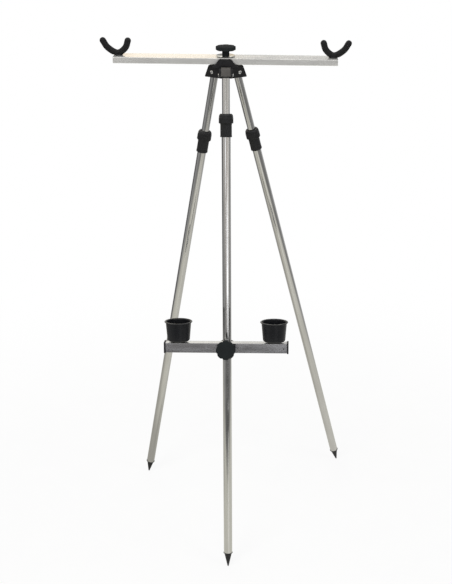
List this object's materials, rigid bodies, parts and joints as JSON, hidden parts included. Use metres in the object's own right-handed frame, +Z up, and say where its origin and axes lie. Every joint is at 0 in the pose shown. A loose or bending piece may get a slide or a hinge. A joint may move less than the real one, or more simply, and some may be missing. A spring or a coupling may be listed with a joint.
{
  "type": "surf rod tripod",
  "caption": "Tripod with telescopic legs on a hinged head, a flat top bar with rubber forks for rods, and a lower bar with cups for the rod butts.",
  "frame": {"origin": "on the floor under the middle of the whole tripod's outline seen from above, at the height of the spike tips", "axes": "+Z up, -Y towards the single front leg that carries the cup bar, +X along the top bar towards the viewer's right"},
  "size_m": [0.64, 0.5148, 1.3234],
  "materials": {
    "black_plastic": "moulded nylon with a fine satin grain",
    "grey_plastic": "moulded nylon, dark warm grey",
    "rubber": "soft matt rubber",
    "aluminium": "satin anodised, drawn lengthwise",
    "steel": "plated, fine turned marks"
  },
  "bodies": {
    "head": {"head_hub": "black_plastic", "head_nut": "steel", "hinge_pin_front": "steel", "hinge_pin_right": "steel", "hinge_pin_left": "steel"},
    "top_bar": {"top_bar": "aluminium", "rest_foot_left": "black_plastic", "rest_fork_left": "rubber", "rest_screw_left": "steel", "rest_foot_right": "black_plastic", "rest_fork_right": "rubber", "rest_screw_right": "steel"},
    "top_knob": {"top_knob": "black_plastic", "top_stud": "steel", "top_washer": "steel"},
    "leg_front": {"hinge_block_front": "grey_plastic", "upper_tube_front": "aluminium", "guide_bush_front": "black_plastic"},
    "leg_right": {"hinge_block_right": "grey_plastic", "upper_tube_right": "aluminium", "guide_bush_right": "black_plastic"},
    "leg_left": {"hinge_block_left": "grey_plastic", "upper_tube_left": "aluminium", "guide_bush_left": "black_plastic"},
    "lower_front": {"lower_tube_front": "aluminium", "lock_body_front": "black_plastic", "lock_collet_front": "grey_plastic", "foot_front": "black_plastic"},
    "lower_right": {"lower_tube_right": "aluminium", "lock_body_right": "black_plastic", "lock_collet_right": "grey_plastic", "foot_right": "black_plastic"},
    "lower_left": {"lower_tube_left": "aluminium", "lock_body_left": "black_plastic", "lock_collet_left": "grey_plastic", "foot_left": "black_plastic"},
    "nut_front": {"lock_nut_front": "black_plastic"},
    "nut_right": {"lock_nut_right": "black_plastic"},
    "nut_left": {"lock_nut_left": "black_plastic"},
    "clamp_slide": {"clamp_liner": "grey_plastic"},
    "cup_rack": {"clamp_ring": "black_plastic", "cup_bar": "aluminium", "cup_bar_cap_left": "black_plastic", "cup_bar_cap_right": "black_plastic", "cup_pad_left": "rubber", "cup_pad_right": "rubber", "cup_left": "black_plastic", "cup_right": "black_plastic", "cup_screw_left": "steel", "cup_screw_right": "steel"},
    "cup_knob": {"cup_knob": "black_plastic", "clamp_screw": "steel", "clamp_washer": "steel"}
  },
  "joints": [
    {"name": "bar_lift", "type": "slide", "parent": "head", "child": "top_bar", "axis": [0, 0, 1], "range_m": [0, 0.08]},
    {"name": "top_knob_turn", "type": "hinge", "parent": "top_bar", "child": "top_knob", "pos_m": [-0.01691, 0.05774, 1.28337], "axis": [0, 0, 1], "continuous": true},
    {"name": "leg_front_fold", "type": "hinge", "parent": "head", "child": "leg_front", "pos_m": [-0.01691, 0.02774, 1.24297], "axis": [-1, 0, 0], "range_deg": [-12.8, 7.2]},
    {"name": "leg_right_fold", "type": "hinge", "parent": "head", "child": "leg_right", "pos_m": [0.00907, 0.07274, 1.24297], "axis": [0.5, -0.866, 0], "range_deg": [-16, 4]},
    {"name": "leg_left_fold", "type": "hinge", "parent": "head", "child": "leg_left", "pos_m": [-0.04289, 0.07274, 1.24297], "axis": [0.5, 0.866, 0], "range_deg": [-11.2, 8.8]},
    {"name": "leg_front_extend", "type": "slide", "parent": "leg_front", "child": "lower_front", "axis": [0, -0.2215, -0.9751], "range_m": [-0.07, 0.75]},
    {"name": "leg_right_extend", "type": "slide", "parent": "leg_right", "child": "lower_right", "axis": [0.2387, 0.1378, -0.9613], "range_m": [-0.135, 0.7]},
    {"name": "leg_left_extend", "type": "slide", "parent": "leg_left", "child": "lower_left", "axis": [-0.1682, 0.0971, -0.981], "range_m": [-0.135, 0.7]},
    {"name": "nut_front_turn", "type": "hinge", "parent": "lower_front", "child": "nut_front", "pos_m": [-0.01691, 0.00736, 1.15326], "axis": [0, 0.2215, 0.9751], "range_deg": [-15, 180]},
    {"name": "nut_right_turn", "type": "hinge", "parent": "lower_right", "child": "nut_right", "pos_m": [0.04679, 0.09451, 1.09109], "axis": [-0.2387, -0.1378, 0.9613], "range_deg": [-15, 180]},
    {"name": "nut_left_turn", "type": "hinge", "parent": "lower_left", "child": "nut_left", "pos_m": [-0.06947, 0.08808, 1.08798], "axis": [0.1682, -0.0971, 0.981], "range_deg": [-15, 180]},
    {"name": "cup_slide", "type": "slide", "parent": "lower_front", "child": "clamp_slide", "axis": [0, -0.2215, -0.9751], "range_m": [-0.5, 0.54]},
    {"name": "cup_swivel", "type": "hinge", "parent": "clamp_slide", "child": "cup_rack", "pos_m": [-0.01691, -0.12026, 0.59157], "axis": [0, 0.2215, 0.9751], "range_deg": [-45, 45]},
    {"name": "cup_knob_turn", "type": "hinge", "parent": "cup_rack", "child": "cup_knob", "pos_m": [-0.01942, -0.1628, 0.60124], "axis": [-0.0576, -0.9735, 0.2212], "continuous": true}
  ]
}
